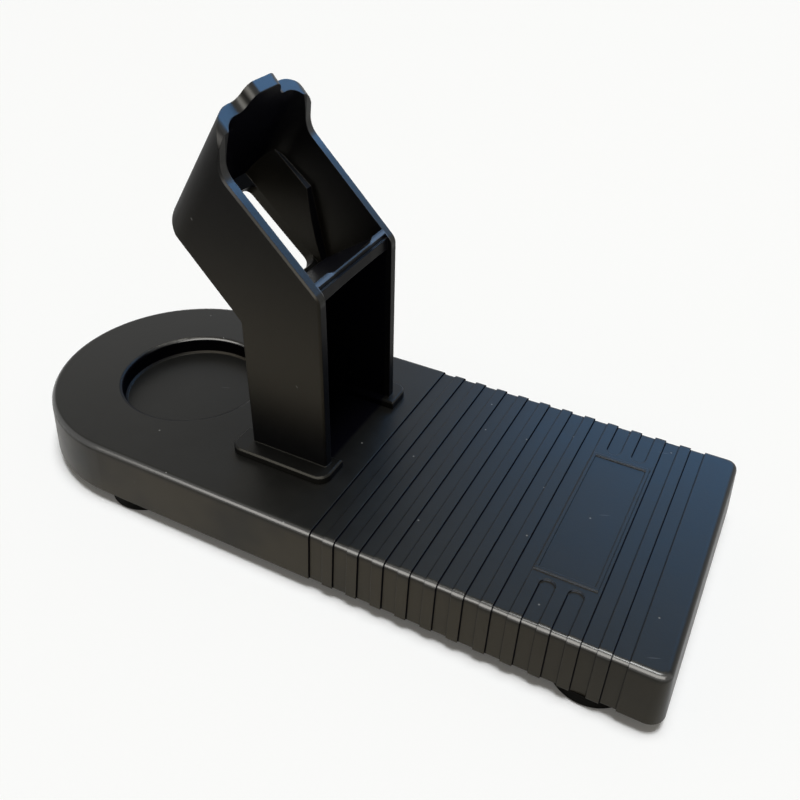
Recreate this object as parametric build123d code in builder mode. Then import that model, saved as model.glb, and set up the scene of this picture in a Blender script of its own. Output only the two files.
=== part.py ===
from build123d import *
import os

# A stand for a hair clipper: a low moulded base with a ribbed end and a round recess, and a bent
# cradle that stands on it and leans back. X runs along the base, with the rounded end at minus X.
# Y runs across it. The origin is on the table, under the middle of the base. Sizes are in millimetres.

base_length = 170.0
base_width = 70.0
base_height = 12.9
foot_height = 3.0
wall = 2.2
pocket_inset = 3.2
draft_angle = 4.4
corner_radius = 3.5
top_edge_radius = 1.5

recess_x = -48.0
recess_radius = 18.1
recess_depth = 4.6
recess_rim_radius = 1.0
recess_floor_bevel = 0.5

channel_count = 12
channel_pitch = 5.88
channel_start = 8.3
channel_width = 3.35
channel_depth = 0.4

label_x = 59.7
label_length = 13.4
label_width = 40.8
label_line = 0.8
label_line_height = 0.3
label_gap = 1.4
label_channels = (8, 9)

cover_thickness = 2.0
cover_inset = 1.8
cover_clearance = 0.15
foot_radius = 9.0
foot_bevel = 0.4
foot_x = (-43.5, 69.5)
foot_y = 25.9

cradle_half_width = 16.3
cradle_wall = 2.4
cradle_corner_radius = 7.5
post_front_x = 1.9
post_back_x = -17.9
bend_height = 50.0
rim_front_height = 60.6
ear_foot = (-19.3, 82.0)
end_wall_foot = (-36.1, 70.3)
end_wall_angle = 57.3
end_wall_length = 30.5
trough_angle = 48.8
rim_corner_radius = 3.0
ear_curve_radius = 5.0
end_foot_radius = 3.5
bend_radius = 2.0
cradle_edge_bevel = 0.4

bump_half_width = 2.7
bump_height = 29.3
shoulder_start = 7.9
shoulder_height = 25.8
shoulder_radius = 3.4

window_start = 0.8
window_end = 22.6
window_half_widths = (11.9, 9.8)
window_corner_radius = 2.0
throat_height = 14.0
throat_half_widths = (10.1, 13.9)

seat_thickness = 1.8
seat_back = (-15.0, 52.4)
seat_front = (-0.5, 61.9)
crest_x = 0.3
crest_width = 0.3
bar_front_x = 0.8
bar_top = 61.2
bar_bottom = 58.4
bar_arch_rise = 0.3
scoop_half_width = 7.6
scoop_slope = 1.6
ledge_corner = (-18.5, 69.1)
ledge_angle = 40.0

plate_thickness = 2.0
plate_front_x = 3.9
plate_back_x = -21.8
plate_inner_y = 12.2
plate_outer_y = 20.4
plate_corner_radius = 3.0
plate_bevel = 0.4

peg_x = -9.0
peg_y = 16.3
peg_radius = 2.8
peg_length = 2.0
peg_clearance = 0.2

screw_radius = 1.3
screw_clearance = 0.05
screw_length = 3.5
screw_head_radius = 3.8
screw_head_height = 2.0

# For the construction only: a length that reaches past every cut, how far the throat is drawn past the
# window's ends, and how closely a radius has to match.
reach = 60.0
throat_overrun = 8.0
radius_match = 0.01

base_top = foot_height + base_height
rounded_centre_x = -base_length / 2 + base_width / 2


def base_outline(inset):
    """The base seen from above: a half-round end and a square end with small corners."""
    half = base_width / 2 - inset
    square_end = base_length / 2 - inset
    round_end = -base_length / 2 + inset
    with BuildSketch() as outline:
        with BuildLine():
            ThreePointArc((rounded_centre_x, half), (round_end, 0), (rounded_centre_x, -half))
            Line((rounded_centre_x, -half), (square_end, -half))
            Line((square_end, -half), (square_end, half))
            Line((square_end, half), (rounded_centre_x, half))
        make_face()
        fillet(outline.vertices().group_by(Axis.X)[-1], max(corner_radius - inset, wall / 2))
    return outline.sketch


def drafted_block(inset):
    """The base as a solid block, drawn in by the inset at its sides and its top."""
    with BuildPart() as block:
        with BuildSketch(Plane.XY.offset(foot_height)):
            add(base_outline(inset))
        extrude(amount=base_height - inset, taper=draft_angle)
        fillet(block.faces().sort_by(Axis.Z)[-1].edges(), top_edge_radius - inset)
    return block.part


foot_places = [(x, side * foot_y) for x in foot_x for side in (-1, 1)]
peg_places = [(peg_x, -peg_y), (peg_x, peg_y)]

# The channels cross the ribbed end and run over the edge and down both sides. Two of them stop
# short of the label, with round ends.
channel_places = [channel_start + channel_width / 2 + channel_pitch * k for k in range(channel_count)]
round_end_y = label_width / 2 + label_gap + channel_width / 2
with BuildPart() as channels:
    with BuildSketch(Plane.XY):
        for k, x in enumerate(channel_places):
            if k in label_channels:
                for side in (-1, 1):
                    with Locations((x, side * (round_end_y + base_width / 4))):
                        Rectangle(channel_width, base_width / 2)
                    with Locations((x, side * round_end_y)):
                        Circle(channel_width / 2)
            else:
                with Locations((x, 0)):
                    Rectangle(channel_width, base_width + channel_width)
    extrude(amount=base_top + channel_width)
    add(drafted_block(channel_depth), mode=Mode.SUBTRACT)

# The space inside the base: a step for the cover, and a pocket above it that goes round the recess.
with BuildPart() as hollow:
    with BuildSketch(Plane.XY.offset(foot_height)):
        add(base_outline(cover_inset))
    extrude(amount=cover_thickness)
    with BuildSketch(Plane.XY.offset(foot_height)):
        add(base_outline(pocket_inset))
    extrude(amount=base_height - wall)
    with BuildSketch(Plane.XY.offset(base_top - recess_depth - wall)):
        with Locations((recess_x, 0)):
            Circle(recess_radius + wall)
    extrude(amount=base_height, mode=Mode.SUBTRACT)

with BuildPart() as base_shell:
    add(drafted_block(0))
    add(channels.part, mode=Mode.SUBTRACT)
    add(hollow.part, mode=Mode.SUBTRACT)
    with BuildSketch(Plane.XY.offset(base_top)):
        with Locations((recess_x, 0)):
            Circle(recess_radius)
    extrude(amount=-recess_depth, mode=Mode.SUBTRACT)
    recess_edges = base_shell.edges().filter_by(GeomType.CIRCLE).filter_by(
        lambda edge: abs(edge.radius - recess_radius) < radius_match)
    fillet(recess_edges.sort_by(Axis.Z)[-1], recess_rim_radius)
    chamfer(recess_edges.sort_by(Axis.Z)[0], recess_floor_bevel)
    with BuildSketch(Plane.XY.offset(base_top)):
        with Locations((label_x, 0)):
            Rectangle(label_length, label_width)
            Rectangle(label_length - 2 * label_line, label_width - 2 * label_line, mode=Mode.SUBTRACT)
    extrude(amount=label_line_height)
    with Locations(*[(x, y, base_top) for x, y in peg_places]):
        Hole(peg_radius + peg_clearance, depth=2 * wall)
base_shell.part.label = "base_shell"

# The cover is cemented into its step and carries the four rubber feet.
with BuildPart() as bottom_cover:
    with BuildSketch(Plane.XY.offset(foot_height)):
        add(base_outline(cover_inset + cover_clearance))
    extrude(amount=cover_thickness)
bottom_cover.part.label = "bottom_cover"

# One screw holds each foot plate of the cradle, from inside the base.
with BuildPart() as cradle_screws:
    with BuildSketch(Plane.XY.offset(base_top - wall)):
        with Locations(*peg_places):
            Circle(screw_head_radius)
    extrude(amount=-screw_head_height)
    with BuildSketch(Plane.XY.offset(base_top - wall)):
        with Locations(*peg_places):
            Circle(screw_radius)
    extrude(amount=screw_length)
cradle_screws.part.label = "cradle_screws"

# The cradle's side view. The post stands upright, and the trough leans back from it.
along = Vector(1, 0, 0).rotate(Axis.Y, -end_wall_angle)
trough = Vector(1, 0, 0).rotate(Axis.Y, trough_angle)
ledge = Vector(1, 0, 0).rotate(Axis.Y, ledge_angle)
end_wall_top = (end_wall_foot[0] + end_wall_length * along.X, end_wall_foot[1] + end_wall_length * along.Z)
end_wall_lip = (end_wall_top[0] + cradle_wall * trough.X, end_wall_top[1] + cradle_wall * trough.Z)
end_plane = Plane((end_wall_foot[0], 0, end_wall_foot[1]), x_dir=(0, 1, 0), z_dir=along)
trough_plane = Plane((end_wall_foot[0], 0, end_wall_foot[1]), x_dir=(0, 1, 0), z_dir=trough)
floor_plane = Plane((post_back_x, 0, bend_height), x_dir=trough * -1, z_dir=trough.rotate(Axis.Y, -90))


def rounded_end(half_width, depth, radius):
    """A prism along the end wall, whose two back corners are rounded."""
    with BuildPart() as prism:
        with BuildSketch(end_plane) as section:
            with Locations((0, -depth - reach)):
                Rectangle(2 * half_width, 2 * reach)
            fillet(section.vertices().group_by(Axis.Y)[-1], radius)
        extrude(amount=2 * reach, both=True)
    return prism.part


def tapered_outline(start, end, half_widths):
    """An outline along the trough, with these half widths at the two ends of the window."""
    growth = (half_widths[1] - half_widths[0]) / (window_end - window_start)
    start_half = half_widths[0] + growth * (start - window_start)
    end_half = half_widths[0] + growth * (end - window_start)
    with BuildSketch() as outline:
        with BuildLine():
            Polyline((start, -start_half), (end, -end_half), (end, end_half), (start, start_half), close=True)
        make_face()
    return outline.sketch


# The space inside the trough, down to its floor and its seat. Its lower part is a throat that narrows
# towards the seat, which leaves a widening ledge on the inner face of each side wall. The ledge comes
# nearer to the floor towards the end wall.
floor_start = floor_plane.from_local_coords((0, 0, cradle_wall))
floor_end = floor_plane.from_local_coords((reach, 0, cradle_wall))
mouth_back = floor_plane.from_local_coords((reach, 0, reach))
inner_half_width = cradle_half_width - cradle_wall
with BuildPart() as throat:
    with BuildSketch(floor_plane.offset(cradle_wall)):
        add(tapered_outline(-throat_overrun, window_end + throat_overrun, window_half_widths))
    with BuildSketch(floor_plane.offset(throat_height)):
        add(tapered_outline(-throat_overrun, window_end + throat_overrun, throat_half_widths))
    loft(ruled=True)
    with BuildSketch(Plane.XZ):
        with BuildLine():
            Polyline(
                seat_front,
                seat_back,
                (floor_start.X, floor_start.Z),
                (floor_end.X, floor_end.Z),
                (mouth_back.X, mouth_back.Z),
                (seat_front[0], mouth_back.Z),
                close=True,
            )
        make_face()
    extrude(amount=inner_half_width, both=True, mode=Mode.INTERSECT)

with BuildPart() as trough_space:
    add(throat.part)
    with BuildSketch(Plane.XZ):
        with BuildLine():
            Polyline(
                seat_front,
                seat_back,
                ledge_corner,
                (ledge_corner[0] - reach * ledge.X, ledge_corner[1] - reach * ledge.Z),
                (mouth_back.X, mouth_back.Z),
                (seat_front[0], mouth_back.Z),
                close=True,
            )
        make_face()
    extrude(amount=inner_half_width, both=True)
    add(
        rounded_end(inner_half_width, cradle_wall, cradle_corner_radius - cradle_wall),
        mode=Mode.INTERSECT,
    )

# The middle of the bar along the front of the seat is scooped out, which leaves a thin crest.
scoop_front_x = crest_x - crest_width
seat_slope = (seat_front[1] - seat_back[1]) / (seat_front[0] - seat_back[0])
with BuildPart() as scoop:
    with BuildSketch(Plane.XZ):
        with BuildLine():
            Polyline(
                seat_back,
                (scoop_front_x, seat_back[1] + seat_slope * (scoop_front_x - seat_back[0])),
                (scoop_front_x, end_wall_top[1]),
                (seat_back[0], end_wall_top[1]),
                close=True,
            )
        make_face()
    extrude(amount=scoop_half_width + scoop_slope, both=True)
    with BuildSketch(Plane.XY.offset(seat_back[1])):
        with BuildLine():
            Polyline(
                (scoop_front_x, -scoop_half_width),
                (scoop_front_x, scoop_half_width),
                (seat_front[0], scoop_half_width + scoop_slope),
                (seat_front[0], -scoop_half_width - scoop_slope),
                close=True,
            )
        make_face()
    extrude(amount=reach, mode=Mode.INTERSECT)

# The space inside the post: it is open at the front, and ends under the seat and the bar.
post_inner_x = post_back_x + cradle_wall
seat_under_back = seat_back[1] + seat_slope * (post_inner_x - seat_back[0]) - seat_thickness
seat_under_front = seat_front[1] - seat_thickness
with BuildPart() as post_space:
    with BuildSketch(Plane.XZ):
        with BuildLine():
            Polyline(
                (post_inner_x, base_top),
                (reach, base_top),
                (reach, end_wall_top[1]),
                (crest_x, end_wall_top[1]),
                (crest_x, bar_top),
                (bar_front_x, bar_top),
                (bar_front_x, bar_bottom),
                (seat_front[0], bar_bottom),
                (seat_front[0], seat_under_front),
                (post_inner_x, seat_under_back),
                close=True,
            )
        make_face()
    extrude(amount=inner_half_width, both=True)
    with BuildSketch(Plane.YZ.offset(seat_front[0])):
        with BuildLine():
            ThreePointArc(
                (-inner_half_width, bar_bottom),
                (0, bar_bottom + bar_arch_rise),
                (inner_half_width, bar_bottom),
            )
            Line((inner_half_width, bar_bottom), (-inner_half_width, bar_bottom))
        make_face()
    extrude(amount=reach)

# Everything above the waved rim of the end wall: a raised middle, and a shoulder on each side.
wave_middle = ((bump_half_width + shoulder_start) / 2, (bump_height + shoulder_height) / 2)
shoulder_end = (cradle_half_width - shoulder_radius, shoulder_height)
with BuildPart() as above_rim:
    with BuildSketch(trough_plane):
        with BuildLine():
            Line((0, bump_height), (bump_half_width, bump_height))
            fall = TangentArc((bump_half_width, bump_height), wave_middle, tangent=(1, 0))
            TangentArc(wave_middle, (shoulder_start, shoulder_height), tangent=fall % 1)
            Line((shoulder_start, shoulder_height), shoulder_end)
            JernArc(shoulder_end, (1, 0), shoulder_radius, -90)
            Polyline(
                (cradle_half_width, shoulder_height - shoulder_radius),
                (reach, shoulder_height - shoulder_radius),
                (reach, reach),
                (0, reach),
                (0, bump_height),
            )
        make_face()
        mirror(about=Plane.YZ)
    extrude(amount=2 * cradle_corner_radius, both=True)

# A plate under each side of the post, which stands on the base. Only its outer corners are rounded.
with BuildPart() as foot_plates:
    with BuildSketch(Plane.XY.offset(base_top)) as plate_outlines:
        plate_x = (plate_front_x + plate_back_x) / 2
        plate_y = (plate_inner_y + plate_outer_y) / 2
        with Locations((plate_x, plate_y), (plate_x, -plate_y)):
            Rectangle(plate_front_x - plate_back_x, plate_outer_y - plate_inner_y)
        outer_corners = plate_outlines.vertices().filter_by(lambda corner: abs(corner.Y) > plate_y)
        fillet(outer_corners, plate_corner_radius)
    extrude(amount=plate_thickness)
    chamfer(foot_plates.edges().group_by(Axis.Z)[-1], plate_bevel)

# The cradle: the side view carried across, its end rounded, and the spaces and the window cut out.
with BuildPart() as cradle:
    with BuildSketch(Plane.XZ) as side_view:
        with BuildLine():
            Polyline(
                (post_back_x, base_top),
                (post_front_x, base_top),
                (post_front_x, rim_front_height),
                ear_foot,
                end_wall_lip,
                end_wall_top,
                end_wall_foot,
                (post_back_x, bend_height),
                close=True,
            )
        make_face()
        fillet(side_view.vertices().sort_by_distance((post_front_x, rim_front_height))[0], rim_corner_radius)
        fillet(side_view.vertices().sort_by_distance(ear_foot)[0], ear_curve_radius)
        fillet(side_view.vertices().sort_by_distance(end_wall_foot)[0], end_foot_radius)
        fillet(side_view.vertices().sort_by_distance((post_back_x, bend_height))[0], bend_radius)
    extrude(amount=cradle_half_width, both=True)
    side_faces = cradle.faces().filter_by(Axis.Y)
    lip_middle = ((end_wall_top[0] + end_wall_lip[0]) / 2, (end_wall_top[1] + end_wall_lip[1]) / 2)
    lip_edges = side_faces.edges().sort_by_distance((lip_middle[0], 0, lip_middle[1]))[:2]
    foot_edges = side_faces.edges().group_by(Axis.Z)[0]
    chamfer(side_faces.edges() - lip_edges - foot_edges, cradle_edge_bevel)
    add(rounded_end(cradle_half_width, 0, cradle_corner_radius), mode=Mode.INTERSECT)
    add(trough_space.part, mode=Mode.SUBTRACT)
    add(post_space.part, mode=Mode.SUBTRACT)
    add(scoop.part, mode=Mode.SUBTRACT)
    add(above_rim.part, mode=Mode.SUBTRACT)
    with BuildSketch(floor_plane) as window:
        add(tapered_outline(window_start, window_end, window_half_widths))
        fillet(window.vertices(), window_corner_radius)
    extrude(amount=cradle_wall, both=True, mode=Mode.SUBTRACT)
    add(foot_plates.part)
    with BuildSketch(Plane.XY.offset(base_top)):
        with Locations(*peg_places):
            Circle(peg_radius)
    extrude(amount=-peg_length)
    with Locations(*[Location((x, y, base_top - peg_length), (180, 0, 0)) for x, y in peg_places]):
        Hole(screw_radius + screw_clearance, depth=screw_length)
cradle.part.label = "cradle"

with BuildPart() as foot:
    with BuildSketch(Plane.XY):
        Circle(foot_radius)
    extrude(amount=foot_height)
    chamfer(foot.edges().sort_by(Axis.Z)[0], foot_bevel)

os.makedirs("parts", exist_ok=True)
export_step(base_shell.part, "parts/base_shell.step")
export_step(bottom_cover.part, "parts/bottom_cover.step")
export_step(cradle_screws.part, "parts/cradle_screws.step")
export_step(cradle.part, "parts/cradle.step")
for number, place in enumerate(foot_places, start=1):
    with BuildPart() as placed_foot:
        with Locations(place):
            add(foot.part)
    placed_foot.part.label = f"foot_{number}"
    export_step(placed_foot.part, f"parts/foot_{number}.step")
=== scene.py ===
# %% [markdown]
# # A stand for a hair clipper
# The stand is a low black base with a bent cradle on it, all moulded in satin plastic, on four rubber
# feet. Its shapes come from the packed CAD model, which is loaded as a fixed frame. What is made here
# is all that a solid doesn't have: where the eye stands, the light, the floor, and the finish of each
# piece. Lengths are in metres. X runs along the base to its square end, Y from the front to the back,
# and Z up.

# %% Load the frame
import math

import bpy
from mathutils import Matrix, Vector

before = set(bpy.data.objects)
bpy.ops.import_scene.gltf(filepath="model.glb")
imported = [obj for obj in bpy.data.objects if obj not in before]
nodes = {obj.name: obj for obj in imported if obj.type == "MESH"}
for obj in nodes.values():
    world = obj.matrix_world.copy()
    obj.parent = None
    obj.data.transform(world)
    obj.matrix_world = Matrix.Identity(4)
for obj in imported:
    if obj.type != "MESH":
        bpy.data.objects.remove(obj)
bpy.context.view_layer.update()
print("pieces:", ", ".join(sorted(nodes)))

# %% [markdown]
# ## The camera
# The stand is seen from close by, from above and to its right, so its near end looks much larger than
# its far end. A long lens further off would flatten that. The camera therefore gets its real place in
# metres, a focal length given in pixels of the square picture, and the slight roll of a hand-held shot.

# %% Camera
picture_side = 800
focal_pixels = 851.4
nearest = 0.01
eye = Vector((0.0806, -0.1375, 0.1451))
azimuth = math.radians(26.54)
look_down = math.radians(36.88)
roll = math.radians(1.46)

back = Vector((
    math.sin(azimuth) * math.cos(look_down),
    -math.cos(azimuth) * math.cos(look_down),
    math.sin(look_down),
))
level_right = Vector((math.cos(azimuth), math.sin(azimuth), 0))
right = level_right * math.cos(roll) + back.cross(level_right) * math.sin(roll)
up = back.cross(right)

camera = bpy.data.objects.new("camera", bpy.data.cameras.new("camera"))
camera.data.lens = camera.data.sensor_width * focal_pixels / picture_side
camera.data.clip_start = nearest
camera.matrix_world = Matrix.Translation(eye) @ Matrix((right, up, back)).transposed().to_4x4()
bpy.context.scene.collection.objects.link(camera)
bpy.context.scene.camera = camera
print(f"lens {camera.data.lens:.1f} mm, {eye.length * 1000:.0f} mm from the middle of the base")

# %% [markdown]
# ## Writing shaders as sums
# A finish is easier to read as arithmetic than as a list of nodes and wires. This class holds one
# socket of a node tree. Adding or multiplying two of them, or one and a number, puts the Math node in.
# Comparing them gives 1 or 0, and a bar between two masks keeps the higher one. The method node() adds
# any other node: its type, then its settings, then what goes into its sockets.

# %% Shader arithmetic
class Shade:
    """One socket of a node tree, or the bare tree to start from."""

    def __init__(self, tree, socket=None):
        self.tree = tree
        self.socket = socket

    def node(self, kind, settings=(), inputs=(), output=0):
        """Adds a node of this kind and returns one of its outputs."""
        made = self.tree.nodes.new(kind)
        for name, value in dict(settings).items():
            setattr(made, name, value)
        for key, value in dict(inputs).items():
            if isinstance(value, Shade):
                self.tree.links.new(value.socket, made.inputs[key])
            else:
                made.inputs[key].default_value = value
        return Shade(self.tree, made.outputs[output] if made.outputs else None)

    def twin(self, output):
        """Another output of the same node."""
        return Shade(self.tree, self.socket.node.outputs[output])

    def parts(self):
        """The X, Y and Z of a vector."""
        split = self.node("ShaderNodeSeparateXYZ", inputs={"Vector": self})
        return [split.twin(name) for name in "XYZ"]

    def math(self, operation, *values):
        """A Math node on these values."""
        return self.node("ShaderNodeMath", {"operation": operation}, enumerate(values))

    def step(self, low, high):
        """0 up to low, 1 from high, and a smooth S between them."""
        return self.node(
            "ShaderNodeMapRange",
            {"interpolation_type": "SMOOTHSTEP"},
            {"Value": self, "From Min": low, "From Max": high},
        )

    def colours(self, dark, light):
        """The colour that lies this far from dark to light."""
        return self.node("ShaderNodeMix", {"data_type": "RGBA"}, {0: self, 6: dark, 7: light}, output=2)

    def __add__(self, other):
        return self.math("ADD", self, other)

    def __sub__(self, other):
        return self.math("SUBTRACT", self, other)

    def __rsub__(self, other):
        return self.math("SUBTRACT", other, self)

    def __mul__(self, other):
        return self.math("MULTIPLY", self, other)

    def __neg__(self):
        return 0 - self

    def __abs__(self):
        return self.math("ABSOLUTE", self)

    def __lt__(self, other):
        return self.math("LESS_THAN", self, other)

    def __gt__(self, other):
        return self.math("GREATER_THAN", self, other)

    def __or__(self, other):
        return self.math("MAXIMUM", self, other)

    __radd__ = __add__
    __rmul__ = __mul__
    __ror__ = __or__


print("operators: + - * < > | and abs(), methods:", [name for name in vars(Shade) if name[0] != "_"])

# %% New materials
def new_material(name):
    """An empty material, and the Shade that its nodes start from."""
    material = bpy.data.materials.new(name)
    material.use_nodes = True
    material.node_tree.nodes.clear()
    return material, Shade(material.node_tree)


print(f"{len(bpy.data.materials)} plain materials came with the frame, and new ones take their place")

# %% [markdown]
# ## The floor
# The stand is shown on plain white paper. Paper that is lit until it turns white would also flood the
# stand, so the paper is lit at a plain level and adds a little glow of its own where the eye, or a
# reflection, looks straight at it. Far off it turns into the white of the room, as a paper roll does
# that is drawn up behind a product. One large square is enough for a floor.

# %% Paper
paper_colour = (0.95, 0.95, 0.945, 1)
paper_glow = 0.066
paper_end = (0.4, 2.5)
white = (1, 1, 1, 1)


def looked_at(start):
    """1 for a ray from the eye, a mirror or glass, and 0 for one that only carries light."""
    from_eye = start.node("ShaderNodeLightPath", output="Is Camera Ray")
    return from_eye | from_eye.twin("Is Glossy Ray") | from_eye.twin("Is Transmission Ray")


paper, start = new_material("white_paper")
seen = looked_at(start)
place = start.node("ShaderNodeTexCoord", output="Object")
distance = start.node("ShaderNodeVectorMath", {"operation": "LENGTH"}, {0: place}, "Value")
lit = start.node("ShaderNodeBsdfDiffuse", inputs={"Color": paper_colour})
glow = start.node("ShaderNodeEmission", inputs={"Strength": seen * paper_glow})
near = start.node("ShaderNodeAddShader", inputs={0: lit, 1: glow})
far = start.node("ShaderNodeEmission", inputs={"Color": white})
far_off = seen * distance.step(*paper_end)
sheet = start.node("ShaderNodeMixShader", inputs={0: far_off, 1: near, 2: far})
start.node("ShaderNodeOutputMaterial", inputs={"Surface": sheet})
print(f"{paper.name}: white from {paper_end[1]} m on")

# %% Floor
floor_half = 20.0

corners = [(x * floor_half, y * floor_half, 0) for x, y in ((-1, -1), (1, -1), (1, 1), (-1, 1))]
floor_mesh = bpy.data.meshes.new("floor")
floor_mesh.from_pydata(corners, [], [range(4)])
floor_mesh.materials.append(paper)
floor = bpy.data.objects.new("floor", floor_mesh)
bpy.context.scene.collection.objects.link(floor)
print(f"floor {2 * floor_half:.0f} m square")

# %% [markdown]
# ## The room
# Blender's world stands for the room. To the eye and in reflections it is plain white. To matt surfaces
# it only sends a dim, warm light, as from the walls of a room, which fills the shadows. The Light Path
# node tells the two apart. The Standard view shows each colour as it is written.

# %% Room
room_light = 0.15
room_colour = (1.0, 0.92, 0.76, 1)

world = bpy.data.worlds.new("white_room")
world.use_nodes = True
world.node_tree.nodes.clear()
start = Shade(world.node_tree)
seen = looked_at(start)
strength = seen * (1 - room_light) + room_light
tint = seen.colours(room_colour, white)
sky = start.node("ShaderNodeBackground", inputs={"Color": tint, "Strength": strength})
start.node("ShaderNodeOutputWorld", inputs={"Surface": sky})
bpy.context.scene.world = world
bpy.context.scene.view_settings.view_transform = "Standard"
print(f"room light at {room_light}")

# %% [markdown]
# ## The lights
# One soft panel overhead lights the paper, and leaves little more than a contact shadow. Black plastic
# shows light almost only as reflections, so two more panels are there for their mirror images alone, as
# a photographer sets up cards: they send nothing to matt surfaces. A cool one behind, like a window,
# tints the rims and the ribbed end, and a white one in front draws the line along the rounded top edge.

# %% Lights
aim = Vector((0, 0, 0.03))
lamp_distance = 8.0


def panel(name, turn, height, wide, tall, radiance, card=False):
    """A lamp that faces the stand, turn degrees round from straight behind it and height degrees up.
    It looks wide by tall degrees large from the stand. A card only shows in reflections."""
    turn, height = math.radians(turn), math.radians(height)
    towards = Vector((
        math.sin(turn) * math.cos(height),
        math.cos(turn) * math.cos(height),
        math.sin(height),
    ))
    level = Vector((math.cos(turn), -math.sin(turn), 0))
    facing = Matrix((level, towards.cross(level), towards)).transposed().to_4x4()
    lamp = bpy.data.lights.new(name, "AREA")
    lamp.shape = "RECTANGLE"
    lamp.size = 2 * lamp_distance * math.tan(math.radians(wide / 2))
    lamp.size_y = 2 * lamp_distance * math.tan(math.radians(tall / 2))
    lamp.color = [part / max(radiance) for part in radiance]
    lamp.energy = max(radiance) * math.pi * lamp.size * lamp.size_y
    hung = bpy.data.objects.new(name, lamp)
    hung.matrix_world = Matrix.Translation(aim + towards * lamp_distance) @ facing
    hung.visible_diffuse = not card
    bpy.context.scene.collection.objects.link(hung)
    print(f"{name}: {lamp.energy:.0f} W")


panel("top_panel", turn=60, height=87, wide=20, tall=20, radiance=(21.0, 21.4, 21.8))
panel("window_card", turn=9, height=35, wide=43, tall=16, radiance=(0.6, 3.2, 7.7), card=True)
panel("front_card", turn=170, height=41, wide=85, tall=40, radiance=(5.8, 5.7, 5.5), card=True)

# %% [markdown]
# ## Patterns for the finish
# Every mark on the plastic is a pattern in the piece's own coordinates, so it keeps its real size and
# stays where it is from any side. Patches are a noise in space. Specks and scuffs are flat patterns. A
# flat pattern laid on from above would smear down the walls, so it is laid on along a slant, which
# suits level and upright faces alike.

# %% Patches
patch_roughness = 0.55
patch_middle = 0.5


def patches(start, place, size, detail=2.0):
    """Soft blotches of about this size, from 0 to 1."""
    return start.node(
        "ShaderNodeTexNoise",
        inputs={"Vector": place, "Scale": 1 / size, "Detail": detail, "Roughness": patch_roughness},
    )


print(f"patches: each finer layer of noise has {patch_roughness} of the strength of the one before")

# %% Specks
slant_x = 0.37
slant_y = 0.61
speck_core = 0.3
speck_chance = 0.66


def slanted(start, place):
    """Flat coordinates for all faces: u = x + slant_x z and v = y + slant_y z."""
    x, y, z = place.parts()
    return start.node("ShaderNodeCombineXYZ", inputs={"X": x + slant_x * z, "Y": y + slant_y * z})


def specks(start, flat, spacing, radius):
    """1 inside a dot of this radius in about every third cell of this spacing, and 0 elsewhere."""
    cells = start.node(
        "ShaderNodeTexVoronoi",
        {"voronoi_dimensions": "2D", "feature": "F1"},
        {"Vector": flat, "Scale": 1 / spacing},
    )
    chance = start.node("ShaderNodeSeparateColor", inputs={"Color": cells.twin("Color")})
    dot = 1 - cells.step(speck_core * radius / spacing, radius / spacing)
    return dot * (chance > speck_chance)


print(f"specks slanted by {slant_x} and {slant_y}, in {1 - speck_chance:.0%} of the cells")

# %% Scuffs
scuff_stretch = 12.0
scuff_spacing = 0.008
scuff_radius = 0.00014


def scuffs(start, flat, turn):
    """1 on short streaks, which are specks drawn out lengthwise and turned by so many degrees."""
    drawn_out = start.node(
        "ShaderNodeMapping",
        {"vector_type": "TEXTURE"},
        {"Vector": flat, "Rotation": (0, 0, math.radians(turn)), "Scale": (scuff_stretch, 1, 1)},
    )
    return specks(start, drawn_out, scuff_spacing, scuff_radius)


print(f"scuffs {2000 * scuff_radius * scuff_stretch:.1f} mm long")

# %% [markdown]
# ## A moulded skin
# All the black pieces come out of etched moulds, so their skin has a fine grain that spreads
# reflections, and broad patches that are a little duller. Sharp edges look dead, so the Bevel node
# rounds them for the light alone. Dust and short scuffs lie on top. The plastic itself is nearly black,
# and what shows of it is almost all reflection. The function gives back a shader's sockets, so that
# each piece can still change them.

# %% Grain and edges
edge_round = 0.0003
edge_samples = 6
grain_strength = 0.6


def grained(start, place, size, depth):
    """The normal that the light meets on rounded edges and a grain of this size and depth."""
    rounded = start.node("ShaderNodeBevel", {"samples": edge_samples}, {"Radius": edge_round})
    height = patches(start, place, size, detail=1.0)
    relief = {"Height": height, "Distance": depth, "Strength": grain_strength, "Normal": rounded}
    return start.node("ShaderNodeBump", inputs=relief)


print(f"edges rounded by {edge_round * 1000:.1f} mm for the light")

# %% Moulded skin
broad_size, fine_size = 0.028, 0.004
broad_share, fine_share = 0.6, 0.4
shade_range = (0.3, 0.7)
dust_spacing, dust_radius = 0.011, 0.00028
dust_colour = (0.20, 0.20, 0.19, 1)
dust_cover = 0.8
scuff_turn = 24
scuff_colour = (0.10, 0.10, 0.10, 1)
scuff_cover = 0.4
broad_dull, fine_dull, dust_dull = 0.10, 0.06, 0.3
plastic_ior = 1.46
warm_tint = (1.0, 0.955, 0.82, 1)


def moulded(start, place, black, grey, roughness, gloss, grain):
    """Sockets for a moulded skin: two shades, roughness, gloss, and the grain's size and depth."""
    flat = slanted(start, place)
    broad = patches(start, place, broad_size)
    fine = patches(start, place, fine_size)
    dust = specks(start, flat, dust_spacing, dust_radius)
    worn = scuffs(start, flat, scuff_turn)
    shade = (broad * broad_share + fine * fine_share).step(*shade_range)
    colour = (worn * scuff_cover).colours(shade.colours(black, grey), scuff_colour)
    dulled = (broad - patch_middle) * broad_dull + (fine - patch_middle) * fine_dull + dust * dust_dull
    return {
        "Base Color": (dust * dust_cover).colours(colour, dust_colour),
        "Roughness": roughness + dulled,
        "Normal": grained(start, place, *grain),
        "IOR": plastic_ior,
        "Specular IOR Level": gloss,
        "Specular Tint": warm_tint,
    }


print(f"skin with patches of {broad_size * 1000:.0f} and {fine_size * 1000:.0f} mm")
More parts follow.
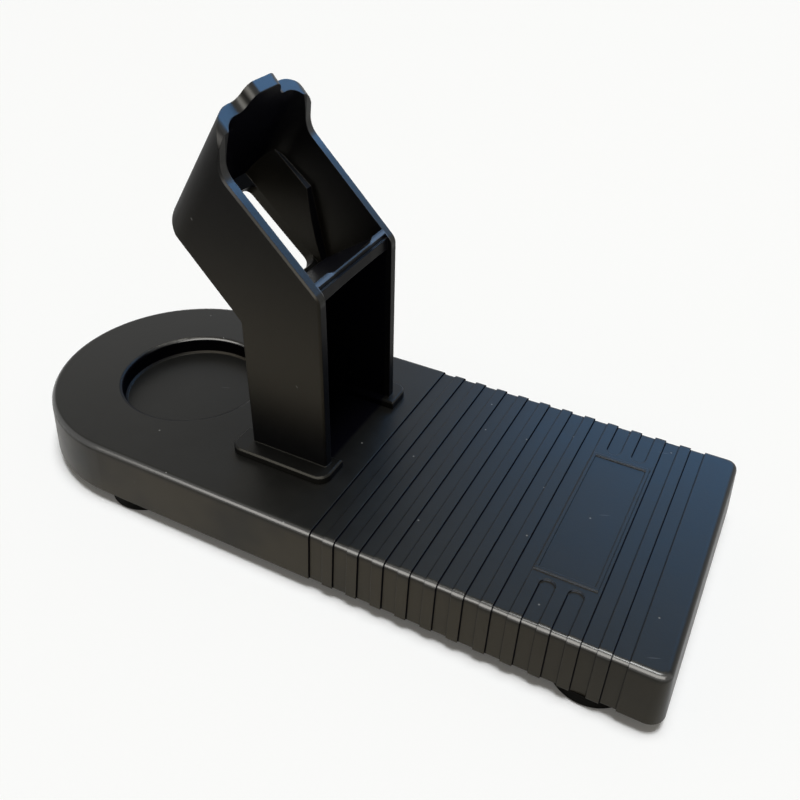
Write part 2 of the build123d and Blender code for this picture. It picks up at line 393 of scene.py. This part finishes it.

# %% [markdown]
# ## Wear and painted light that follow the shape
# Wear sits where hands reach. Painted shade, painted highlights and painted reflections sit where
# light does or doesn't reach. They could be painted by hand, but that needs an unwrapped mesh and an
# image. Here each is a mask, a number from 0 to 1 that is worked out from the place of a point and the
# way that the surface faces there, so it fits the CAD model as it is. Limits come in pairs: the mask is
# 0 at the first and 1 at the second. Where the mask of painted shade is 1, a matt black sheet is
# painted in as shade in place of the skin, because even the blackest skin would still reflect the room.

# %% Masks
leans_from, leans_to = (0.25, 0.5), (0.90, 0.985)


def survey(start):
    """The place of each point, its x, y and z, and how far the surface faces right, back and up."""
    place = start.node("ShaderNodeTexCoord", output="Object")
    facing = place.twin("Normal")
    return place, place.parts(), facing.parts()


def leaning(rise):
    """1 where the surface leans, as on a rounded edge, and 0 where it is level or upright."""
    return rise.step(*leans_from) * (1 - rise.step(*leans_to))


steepest, flattest = (math.degrees(math.asin(rise)) for rise in (leans_from[1], leans_to[0]))
print(f"an edge leans where it faces {steepest:.0f} to {flattest:.0f} degrees up")

# %% Dressing
painted_shade_black = (0.002, 0.002, 0.004, 1)


def put_on(start, skin, dark):
    """Ends a material: the skin, and matt black painted in as shade as far as the mask dark says."""
    shiny = start.node("ShaderNodeBsdfPrincipled", inputs=skin)
    # painted shade: a matt black diffuse sheet mixed in where the mask dark is high
    matt = start.node("ShaderNodeBsdfDiffuse", inputs={"Color": painted_shade_black})
    surface = start.node("ShaderNodeMixShader", inputs={0: dark, 1: shiny, 2: matt})
    start.node("ShaderNodeOutputMaterial", inputs={"Surface": surface})


def dress(material, *names):
    """Gives these nodes the material in place of what they came with."""
    for name in names:
        mesh = nodes[name].data
        mesh.materials.clear()
        mesh.materials.append(material)
    print(f"{material.name}, {len(material.node_tree.nodes)} shader nodes: {', '.join(names)}")


print(f"{len(nodes)} pieces to dress")

# %% [markdown]
# ## The base: rubbed edges, painted reflection and painted highlight
# Hands that reach in from the front rub the rounded edges on that side until they shine. The front wall
# gets a painted warm reflection, a faint brown tone, which is thinner towards the square end. The low
# steps on top that face the front, such as the label's frame, get a painted highlight in a light
# blue-grey. The height of a point tells the walls, the rounded edge and the steps apart.

# %% Base wear, painted reflection and highlight
rubbed_from = 0.0135
rubbed_soft = 0.0005
step_foot = 0.01535
rubbed_facing = (0.05, 0.3)
wall_reflection_facing = (0.2, 0.8)
wall_reflection_thins = (0.03, 0.08)
thin_wall_reflection = 0.5
step_highlight_facing = (0.3, 0.6)
step_highlight_upright = (0.2, 0.4)

base_plastic, start = new_material("base_plastic")
place, (x, y, z), (to_right, to_back, rise) = survey(start)
to_front = -to_back

rubbed = leaning(rise) * to_front.step(*rubbed_facing) * z.step(rubbed_from, rubbed_from + rubbed_soft)
on_wall = 1 - z.step(rubbed_from, step_foot)
# painted warm reflection: a brown tone on the front wall, thinner towards the square end
wall_reflection = to_front.step(*wall_reflection_facing) * on_wall * (1 - thin_wall_reflection * x.step(*wall_reflection_thins))
# painted highlight: the low steps on top that face the front get a light blue-grey colour
step_highlight = to_front.step(*step_highlight_facing) * (z > step_foot) * (1 - rise.step(*step_highlight_upright))
print(f"edges rubbed from z = {rubbed_from * 1000:.1f} mm, steps chafed from {step_foot * 1000:.2f} mm")

# %% [markdown]
# ## The base: the recess and inside the post
# The wall of the recess looks into its own shade, so a matt black is painted in there as shade. Its
# near rim faces away from the front and gets half as much painted shade. Its far rim is rubbed like the
# front edges, but only on the steep part, where things slide out over it. The post is hollow and open
# at its front, and painted shade makes the floor inside it about as dark as the wall of the recess. The
# distance from the middle of the recess gives a round mask, and plain limits in x and y give the square
# one.

# %% Base recess and post
recess_middle = (-0.048, 0, 0)
recess_rim = 0.0193
recess_edge = 0.002
edge_turns_up = (0.74, 0.85)
recess_level = (0.5, 0.95)
near_rim_facing = (0.03, 0.15)
post_back = -0.0165
post_front = 0.0003
post_soft = 0.0006
post_half = 0.0139

level = start.node("ShaderNodeCombineXYZ", inputs={"X": x, "Y": y})
radius = start.node(
    "ShaderNodeVectorMath", {"operation": "DISTANCE"}, {0: level, 1: recess_middle}, "Value"
)
recess = (radius < recess_rim) * (1 - rubbed)
# painted shade on the wall of the recess
recess_wall_shade = recess * (1 - rise.step(*recess_level))
# painted shade on the near rim of the recess
near_rim_shade = recess * to_back.step(*near_rim_facing)
about_recess = radius < recess_rim + recess_edge
rubbed = rubbed * (1 - about_recess * rise.step(*edge_turns_up))

half = abs(y)
behind_front = 1 - x.step(post_front - post_soft, post_front + post_soft)
# painted shade on the floor inside the post
post_shade = (half < post_half) * (x > post_back) * behind_front
print(f"recess {recess_rim * 2000:.1f} mm wide, dark floor in the post {post_half * 2000:.1f} mm wide")

# %% [markdown]
# ## The base: painted shade in the channels
# The channels in the square end are narrow, and a dark line of painted shade lies in their left
# corners, fainter in their right ones, and on their steps that face right. They are evenly spaced, so
# the remainder of a point's x after whole spacings tells how far it is from the left corner of its own
# channel. One mask then serves them all. The label has no channels, so it is left out.

# %% Base painted crease shade
channel_start = 0.0083
channel_slack = 0.0001
channel_pitch = 0.00588
channel_width = 0.00335
channels_end = 0.0764
channel_wall = (0.5, 0.8)
crease_shade_width = 0.00026
crease_shade_core = 0.7 * crease_shade_width
right_crease_shade = 0.45
label_from, label_to = 0.0525, 0.0665
label_half = 0.0234

ribbed = (x > channel_start - channel_slack) * (x < channels_end)
label = (x > label_from) * (x < label_to) * (half < label_half)
spacings = (x - channel_start) * (1 / channel_pitch)
along = start.math("FRACT", spacings) * channel_pitch
left_corner = 1 - along.step(crease_shade_core, crease_shade_width)
right_corner = along.step(channel_width - crease_shade_width, channel_width - crease_shade_core)
right_corner = right_corner * (along < channel_width)
corner = (left_corner | right_corner * right_crease_shade) * (1 - label)
# painted shade: a dark line in the channel corners and on the steps that face right
crease_shade = ribbed * (corner | to_right.step(*channel_wall))
print(f"dirt beside {round((channels_end - channel_start) / channel_pitch)} channels")

# %% [markdown]
# ## The base: its plastic
# The masks now change the skin. The painted warm reflection and the painted highlight mix their colours
# in. Rubbing smooths the skin a little and adds a clear coat, which gives a sharp shine on top of the
# satin one. Of the places of painted shade, each has its own strength, and the highest one counts.

# %% Base plastic
base_black = (0.0030, 0.0030, 0.0029, 1)
base_grey = (0.0050, 0.0050, 0.0047, 1)
warm_reflection_colour = (0.034, 0.027, 0.016, 1)
highlight_colour = (0.15, 0.19, 0.28, 1)
satin = 0.38
fine_grain = (0.00035, 0.00002)
reflection_patch = 0.02
reflection_range = (0.1, 0.6)
base_smoothed = 0.08
rubbed_coat, step_highlight_coat = 0.42, 0.15
coat_ior = 1.9
crease_shade_dark, wall_dark, near_rim_dark, post_dark = 0.9, 0.93, 0.5, 0.92

skin = moulded(start, place, base_black, base_grey, roughness=satin, gloss=0.21, grain=fine_grain)
# painted warm reflection on the front wall, in patches
warm_reflection = wall_reflection * patches(start, place, reflection_patch).step(*reflection_range)
# the painted warm reflection is mixed into the skin, then the painted highlight on the front-facing
# steps
skin["Base Color"] = step_highlight.colours(warm_reflection.colours(skin["Base Color"], warm_reflection_colour), highlight_colour)
skin["Roughness"] = skin["Roughness"] - rubbed * base_smoothed
skin["Coat Weight"] = rubbed * rubbed_coat + step_highlight * step_highlight_coat
skin["Coat Roughness"] = 0.22
skin["Coat IOR"] = coat_ior
# painted shade: matt black in the channels, on the recess wall and near rim, and on the floor in the
# post
dark = crease_shade * crease_shade_dark | recess_wall_shade * wall_dark | near_rim_shade * near_rim_dark | post_shade * post_dark
put_on(start, skin, dark)
dress(base_plastic, "base_shell")

# %% [markdown]
# ## The cradle: rims, ledges and crest
# It is the same plastic as the base. The rims that the clipper slides over and the edges that face the
# front are rubbed, the ledges inside get a painted highlight in a light blue-grey, and the two ends of
# the seat's crest shine. The model doesn't say which faces are inside, so a mask finds them: what lies
# between the two side walls and isn't part of the outer back.

# %% Cradle wear and painted ledge highlight
cradle_facing = (0.05, 0.4)
plate_top = (0.0181, 0.0183)
rim_facing = (0.3, 0.6)
rim_rise = (0.076, 0.080)
outer_back = (0.56, 0.62)
inside_half = 0.0141
ledge_from, ledge_to = (0.064, 0.065), (0.080, 0.081)
scoop_half = (0.0065, 0.0085)
crest_level = (0.3, 0.6)
crest_from, crest_to = (0.0605, 0.0609), (0.0625, 0.0630)

cradle_plastic, start = new_material("cradle_plastic")
place, (x, y, z), (to_right, to_back, rise) = survey(start)
to_front = -to_back
half = abs(y)

rubbed = leaning(rise) * (to_right + to_front).step(*cradle_facing)
plate = 1 - z.step(*plate_top)
upper_rim = to_right.step(*rim_facing) * z.step(*rim_rise)
inside = (half < inside_half) * (1 - (-to_right).step(*outer_back))
# painted highlight on the ledges inside
ledge_highlight = rubbed * inside * z.step(*ledge_from) * (1 - z.step(*ledge_to))
bar_ends = half.step(*scoop_half)
on_crest = z.step(*crest_from) * (1 - z.step(*crest_to))
crest = inside * bar_ends * rise.step(*crest_level) * on_crest
print(f"inside {inside_half * 2000:.1f} mm wide, shining crest from {crest_from[0] * 1000:.1f} mm up")

# %% [markdown]
# ## The cradle: the painted shade inside
# Little light gets into the trough, and hardly any into the post, so matt black is painted in as shade;
# in the post it ends in a straight line at the open front. Faces that face the front above the trough's
# sloping floor get a painted warm reflection, a brown tone that fades upwards. The end wall leans over
# the trough and gets more painted shade, as does the middle of the bar below the scoop.
# Heights above a slope are sums of x and z.

# %% Cradle inside
floor_slope = math.radians(40)
trough_reflection_ends = (0.030, 0.050)
trough_reflection_facing = (0.5, 0.8)
seat_slope = 0.655
seat_underside = 0.0603
post_edge = (post_front, post_front + 0.0008)
end_wall_facing = (0.5, 0.8)
end_wall_overhang = (-0.3, 0)
end_wall_rise = (0.0625, 0.064)
bar_facing = (0.8, 0.95)
bar_rise = (0.0577, 0.0583)

above_floor = x * math.sin(floor_slope) + z * math.cos(floor_slope)
below_seat = z - x * seat_slope < seat_underside
low_down = (1 - above_floor.step(*trough_reflection_ends)) * (1 - below_seat)
# painted warm reflection on the front-facing faces low in the trough
trough_reflection = inside * low_down * to_front.step(*trough_reflection_facing)
# painted shade inside the post
post_shade = inside * below_seat * (x > post_back) * (1 - x.step(*post_edge))
overhung = to_right.step(*end_wall_facing) * (1 - rise.step(*end_wall_overhang))
# painted shade on the end wall that leans over the trough
end_wall_shade = inside * overhung * z.step(*end_wall_rise)
# painted shade on the middle of the bar below the scoop
bar_front_shade = inside * (1 - bar_ends) * to_right.step(*bar_facing) * z.step(*bar_rise)
# painted shade over the rest of the inside
shaded = inside * (1 - rubbed) * (1 - plate) * (1 - trough_reflection) * (1 - crest)
print(f"dark inside the post from x = {post_front * 1000:.1f} mm back")

# %% [markdown]
# ## The cradle: its sides and edges
# The near side gets a painted warm reflection, a thin brown tone at half height, and painted shade at
# its top and at its foot. The narrow front edges of the post and the edges at its back get painted
# shade too.

# %% Cradle sides
side_facing = (0.1, 0.6)
side_top = (0.040, 0.085)
side_foot = (0.018, 0.038)
side_reflection_foot = (0.020, 0.040)
front_edge_facing = (0.9, 0.97)
front_edge_ends = (0.0583, 0.0593)
back_edge_facing = (0.15, 0.5)

side = to_front.step(*side_facing) * (1 - inside)
up_side = z.step(*side_top)
down_side = (1 - z.step(*side_foot)) * (1 - plate)
# painted warm reflection: a brown tone at half height on the near side
side_reflection = side * z.step(*side_reflection_foot) * (1 - up_side)
front_edge = to_right.step(*front_edge_facing) * (1 - z.step(*front_edge_ends))
back_edge = (-to_right).step(*back_edge_facing) * abs(to_back).step(*back_edge_facing)
# painted shade at the side's top and foot and on the front and back edges
painted_side_shade = front_edge | side * (up_side + down_side) | back_edge
print(f"side dull above z = {side_top[1] * 1000:.0f} mm and below {side_foot[0] * 1000:.0f} mm")

# %% [markdown]
# ## The cradle: its plastic
# It is put together like the base's. One material could serve both pieces, but every mask would then
# have to tell them apart as well. The coat is thinner than on the base, except on the ends of the
# crest, where the clipper is set down.

# %% Cradle plastic
cradle_black = (0.0027, 0.0027, 0.0026, 1)
cradle_grey = (0.0045, 0.0045, 0.0042, 1)
side_reflection_share, trough_reflection_share = 0.6, 0.35
ledge_highlight_share = 0.12
cradle_smoothed = 0.06
edge_coat, rim_coat, crest_coat = 0.05, 0.10, 0.4
side_shade_dark, shaded_dark, end_wall_dark, bar_dark = 0.45, 0.55, 0.8, 0.6

skin = moulded(start, place, cradle_black, cradle_grey, roughness=satin, gloss=0.17, grain=fine_grain)
# painted warm reflection on the near side and low in the trough
warm_reflection = side_reflection * side_reflection_share | trough_reflection * trough_reflection_share
colour = warm_reflection.colours(skin["Base Color"], warm_reflection_colour)
# painted highlight: a light blue-grey on the ledges inside
skin["Base Color"] = (ledge_highlight * ledge_highlight_share).colours(colour, highlight_colour)
skin["Roughness"] = skin["Roughness"] - rubbed * cradle_smoothed
skin["Coat Weight"] = rubbed * (1 - plate) * edge_coat + upper_rim * rim_coat + crest * crest_coat
skin["Coat Roughness"] = 0.3
skin["Coat IOR"] = coat_ior
# painted shade: matt black on the sides, edges, inside, end wall, post and bar
dark = painted_side_shade * side_shade_dark | shaded * shaded_dark | end_wall_shade * end_wall_dark
put_on(start, skin, dark | post_shade * post_dark | bar_front_shade * bar_dark)
dress(cradle_plastic, "cradle")

# %% [markdown]
# ## The cover and the feet
# The cover closes the base from below, where nobody looks, so its mould was only blasted: the grain is
# coarser and the gloss lower. The rubber feet are duller still, with a slightly pitted skin. Neither is
# rubbed, so the moulded skin is used as it comes.

# %% Cover and feet
cover_black = (0.0035, 0.0035, 0.0035, 1)
dusty_black = (0.0060, 0.0060, 0.0060, 1)
blasted_grain = (0.0008, 0.00006)
rubber_black = (0.0008, 0.0008, 0.0007, 1)
dusty_rubber = (0.0020, 0.0018, 0.0015, 1)
pitted_grain = (0.0006, 0.00008)


def plain_moulding(name, black, grey, roughness, gloss, grain):
    """A moulded piece that nothing has rubbed."""
    material, start = new_material(name)
    place = start.node("ShaderNodeTexCoord", output="Object")
    skin = moulded(start, place, black, grey, roughness, gloss, grain)
    surface = start.node("ShaderNodeBsdfPrincipled", inputs=skin)
    start.node("ShaderNodeOutputMaterial", inputs={"Surface": surface})
    return material


cover_plastic = plain_moulding(
    "cover_plastic", cover_black, dusty_black, roughness=0.55, gloss=0.25, grain=blasted_grain
)
dress(cover_plastic, "bottom_cover")
foot_rubber = plain_moulding(
    "foot_rubber", rubber_black, dusty_rubber, roughness=0.75, gloss=0.04, grain=pitted_grain
)
dress(foot_rubber, "foot_1", "foot_2", "foot_3", "foot_4")

# %% [markdown]
# ## Steel screws
# The two screws sit inside the base and hold the cradle. Their heads are turned on a lathe, which
# leaves fine rings. Steel has no colour of its own under the shine, so the metal takes all of it from
# its reflections.

# %% Steel
ring_scale = 900.0
steel_dark = (0.42, 0.42, 0.43, 1)
steel_light = (0.60, 0.60, 0.61, 1)
steel_roughness, ring_roughness, blotch_roughness = 0.28, 0.12, 0.1
steel_blotch = 0.002

screw_steel, start = new_material("screw_steel")
place = start.node("ShaderNodeTexCoord", output="Object")
rings = start.node(
    "ShaderNodeTexWave",
    {"wave_type": "RINGS", "rings_direction": "Z"},
    {"Vector": place, "Scale": ring_scale},
)
blotch = patches(start, place, steel_blotch)
steel = {
    "Base Color": blotch.colours(steel_dark, steel_light),
    "Metallic": 1.0,
    "Roughness": steel_roughness + rings * ring_roughness + blotch * blotch_roughness,
}
surface = start.node("ShaderNodeBsdfPrincipled", inputs=steel)
start.node("ShaderNodeOutputMaterial", inputs={"Surface": surface})
dress(screw_steel, "cradle_screws")

# %% [markdown]
# ## Sizes
# The finishes add nothing to the shape, so the box of what is shown has to be the CAD model's box.
